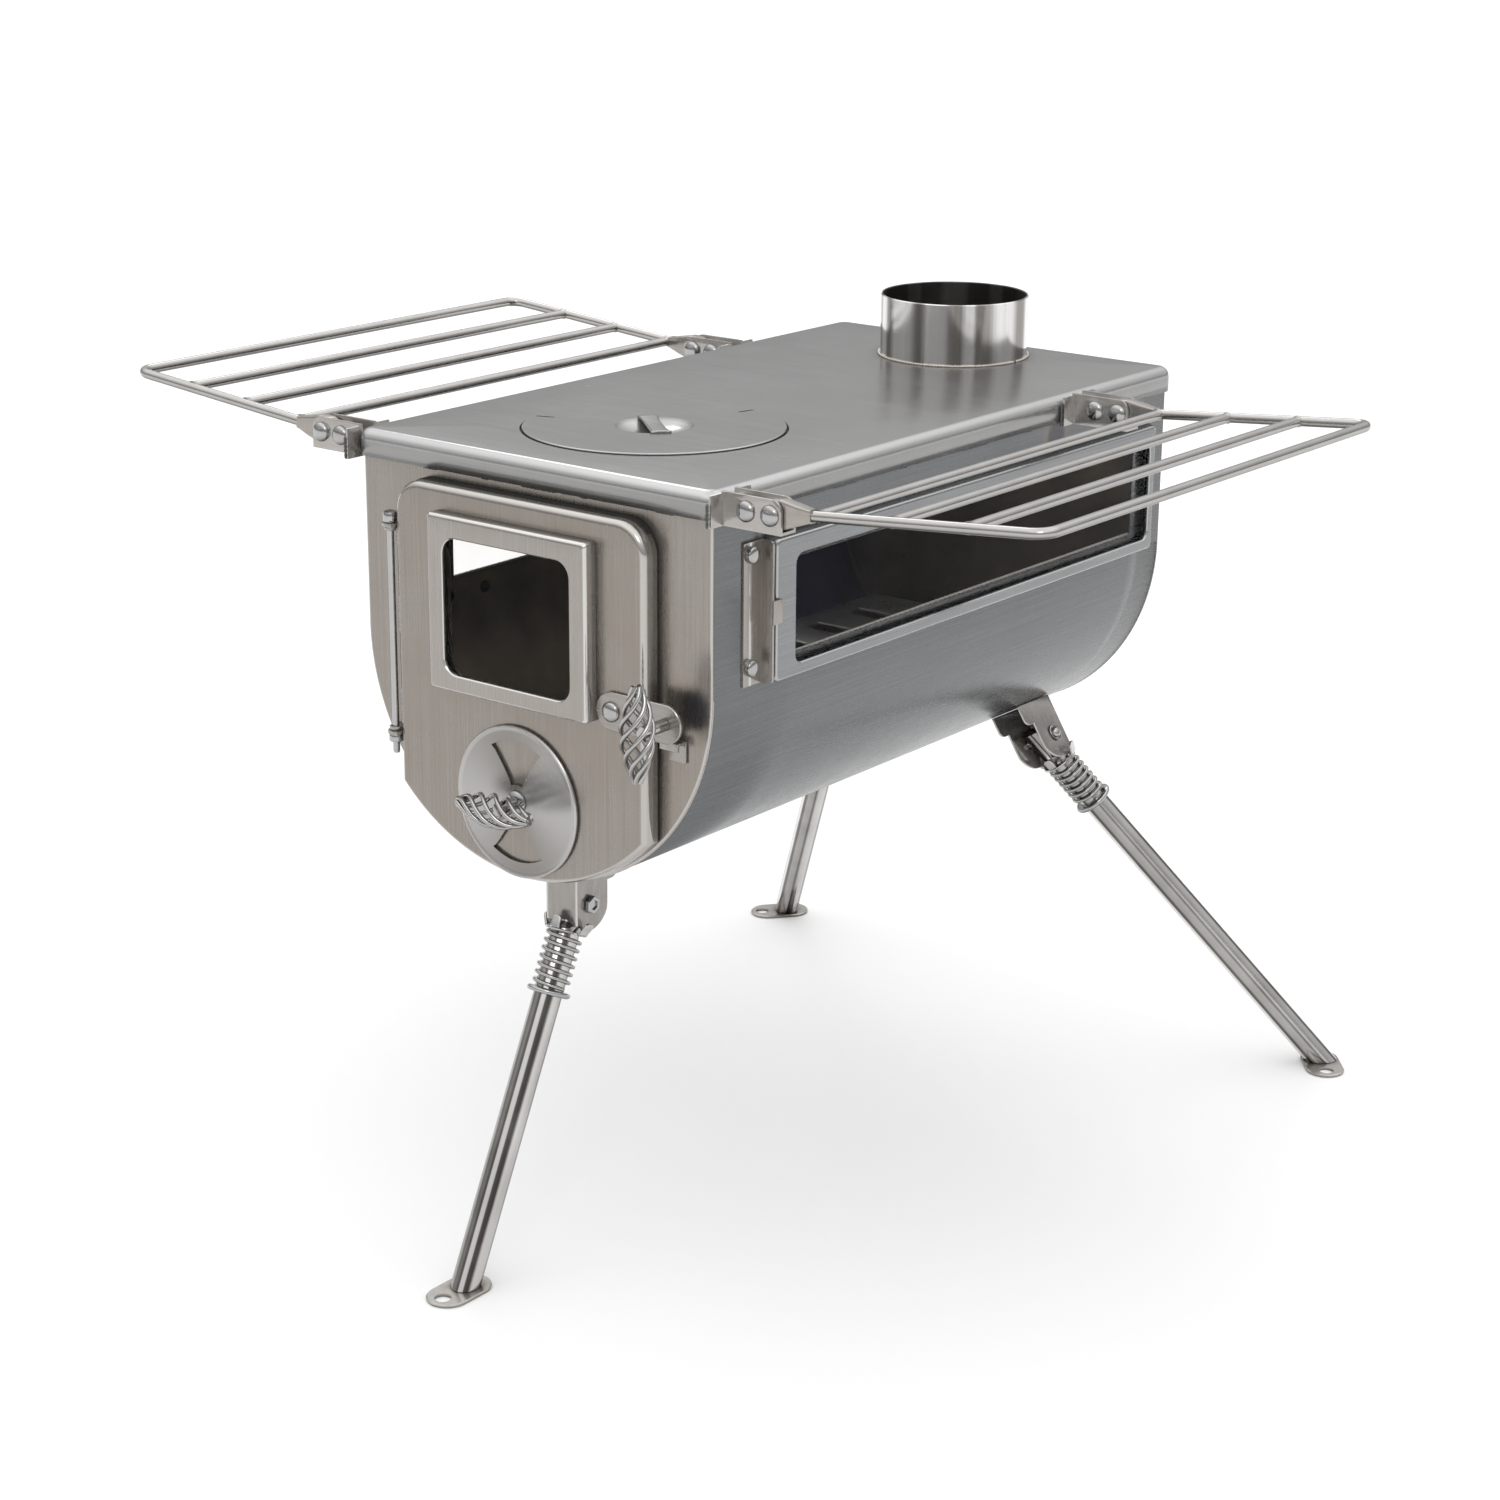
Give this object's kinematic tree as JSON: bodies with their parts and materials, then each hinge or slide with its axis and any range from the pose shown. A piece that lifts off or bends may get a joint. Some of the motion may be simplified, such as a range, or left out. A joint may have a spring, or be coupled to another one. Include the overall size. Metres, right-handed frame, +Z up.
{
  "type": "tent wood stove",
  "caption": "Free-standing stainless wood stove for a tent, with folding legs, folding side racks, a glazed door with an air damper, a cooking lid and a flue collar.",
  "frame": {"origin": "on the ground under the middle of the stove", "axes": "+X to the right seen from the front, the door faces -Y, +Z up"},
  "size_m": [0.6222, 0.6098, 0.4868],
  "materials": {
    "bluish_steel": "brushed stainless sheet with a cool cast",
    "brushed_front": "stainless sheet brushed upright",
    "satin_plate": "satin stainless sheet with bright edges",
    "polished_steel": "polished stainless",
    "fire_steel": "dull stainless sheet",
    "stove_glass": "dark reflective stove glass",
    "seal_rope": "dark woven rope seal"
  },
  "bodies": {
    "stove": {"firebox_wrap": "bluish_steel", "front_panel": "brushed_front", "back_panel": "brushed_front", "top_plate": "satin_plate", "flue_collar": "polished_steel", "fire_grate": "fire_steel", "grate_rail_right": "fire_steel", "grate_rail_left": "fire_steel", "hinge_ear_upper": "brushed_front", "hinge_ear_lower": "brushed_front", "hinge_rod": "polished_steel", "latch_keeper": "brushed_front", "side_window_frame_left": "bluish_steel", "side_window_frame_right": "bluish_steel", "side_glass_left": "stove_glass", "side_glass_right": "stove_glass", "window_clip_left": "bluish_steel", "window_clip_right": "bluish_steel", "rack_bracket_front_right": "satin_plate", "rack_bracket_front_left": "satin_plate", "rack_bracket_rear_right": "satin_plate", "rack_bracket_rear_left": "satin_plate", "rack_pivot_front_right": "polished_steel", "rack_pivot_front_left": "polished_steel", "rack_pivot_rear_right": "polished_steel", "rack_pivot_rear_left": "polished_steel", "leg_bracket_front": "brushed_front", "leg_bracket_rear_right": "brushed_front", "leg_bracket_rear_left": "brushed_front", "leg_bolt_front": "polished_steel", "leg_bolt_rear_right": "polished_steel", "leg_bolt_rear_left": "polished_steel"},
    "door": {"door_shell": "brushed_front", "door_window_frame": "brushed_front", "door_glass": "stove_glass", "door_seal": "seal_rope", "door_hinge_leaf": "brushed_front", "latch_rivet": "polished_steel"},
    "latch": {"latch_plate": "brushed_front", "latch_handle": "polished_steel"},
    "damper": {"damper_disc": "satin_plate", "damper_handle": "polished_steel"},
    "lid": {"cook_lid": "satin_plate"},
    "rack_right": {"side_rack_right": "polished_steel"},
    "rack_left": {"side_rack_left": "polished_steel"},
    "leg_front": {"leg_tube_front": "polished_steel", "foot_front": "brushed_front", "spring_ring_front": "polished_steel", "leg_spring_front": "polished_steel"},
    "lock_front": {"lock_collar_front": "polished_steel"},
    "leg_rear_right": {"leg_tube_rear_right": "polished_steel", "foot_rear_right": "brushed_front", "spring_ring_rear_right": "polished_steel", "leg_spring_rear_right": "polished_steel"},
    "lock_rear_right": {"lock_collar_rear_right": "polished_steel"},
    "leg_rear_left": {"leg_tube_rear_left": "polished_steel", "foot_rear_left": "brushed_front", "spring_ring_rear_left": "polished_steel", "leg_spring_rear_left": "polished_steel"},
    "lock_rear_left": {"lock_collar_rear_left": "polished_steel"}
  },
  "joints": [
    {"name": "door_hinge", "type": "hinge", "parent": "stove", "child": "door", "pos_m": [-0.0918, -0.2273, 0.345], "axis": [0, 0, -1], "range_deg": [0, 120]},
    {"name": "latch_turn", "type": "hinge", "parent": "door", "child": "latch", "pos_m": [0.0665, -0.2315, 0.3298], "axis": [0, -1, 0], "range_deg": [0, 60]},
    {"name": "damper_turn", "type": "hinge", "parent": "door", "child": "damper", "pos_m": [0, -0.2315, 0.2668], "axis": [0, -1, 0], "range_deg": [0, 90]},
    {"name": "lid_lift", "type": "slide", "parent": "stove", "child": "lid", "axis": [0, 0, 1], "range_m": [0, 0.05]},
    {"name": "rack_fold_right", "type": "hinge", "parent": "stove", "child": "rack_right", "pos_m": [0.1543, -0.0485, 0.4425], "axis": [0, -1, 0], "range_deg": [0, 135]},
    {"name": "rack_fold_left", "type": "hinge", "parent": "stove", "child": "rack_left", "pos_m": [-0.1543, -0.0485, 0.4425], "axis": [0, 1, 0], "range_deg": [0, 135]},
    {"name": "leg_fold_front", "type": "hinge", "parent": "stove", "child": "leg_front", "pos_m": [0, -0.1863, 0.1988], "axis": [1, 0, 0], "range_deg": [0, 113]},
    {"name": "leg_fold_rear_right", "type": "hinge", "parent": "stove", "child": "leg_rear_right", "pos_m": [0.07666, 0.1618, 0.22105], "axis": [-0.8446, 0, -0.5353], "range_deg": [0, 113]},
    {"name": "leg_fold_rear_left", "type": "hinge", "parent": "stove", "child": "leg_rear_left", "pos_m": [-0.07666, 0.1618, 0.22105], "axis": [-0.8446, 0, 0.5353], "range_deg": [0, 113]},
    {"name": "lock_slide_front", "type": "slide", "parent": "leg_front", "child": "lock_front", "axis": [0, -0.4273, -0.9041], "range_m": [0, 0.009], "stiffness_N_per_m": 300, "springref_m": -0.006, "deforming": ["leg_spring_front"]},
    {"name": "lock_slide_rear_right", "type": "slide", "parent": "leg_rear_right", "child": "lock_rear_right", "axis": [0.4797, 0.444, -0.7568], "range_m": [0, 0.009], "stiffness_N_per_m": 300, "springref_m": -0.006, "deforming": ["leg_spring_rear_right"]},
    {"name": "lock_slide_rear_left", "type": "slide", "parent": "leg_rear_left", "child": "lock_rear_left", "axis": [-0.4797, 0.444, -0.7568], "range_m": [0, 0.009], "stiffness_N_per_m": 300, "springref_m": -0.006, "deforming": ["leg_spring_rear_left"]}
  ]
}
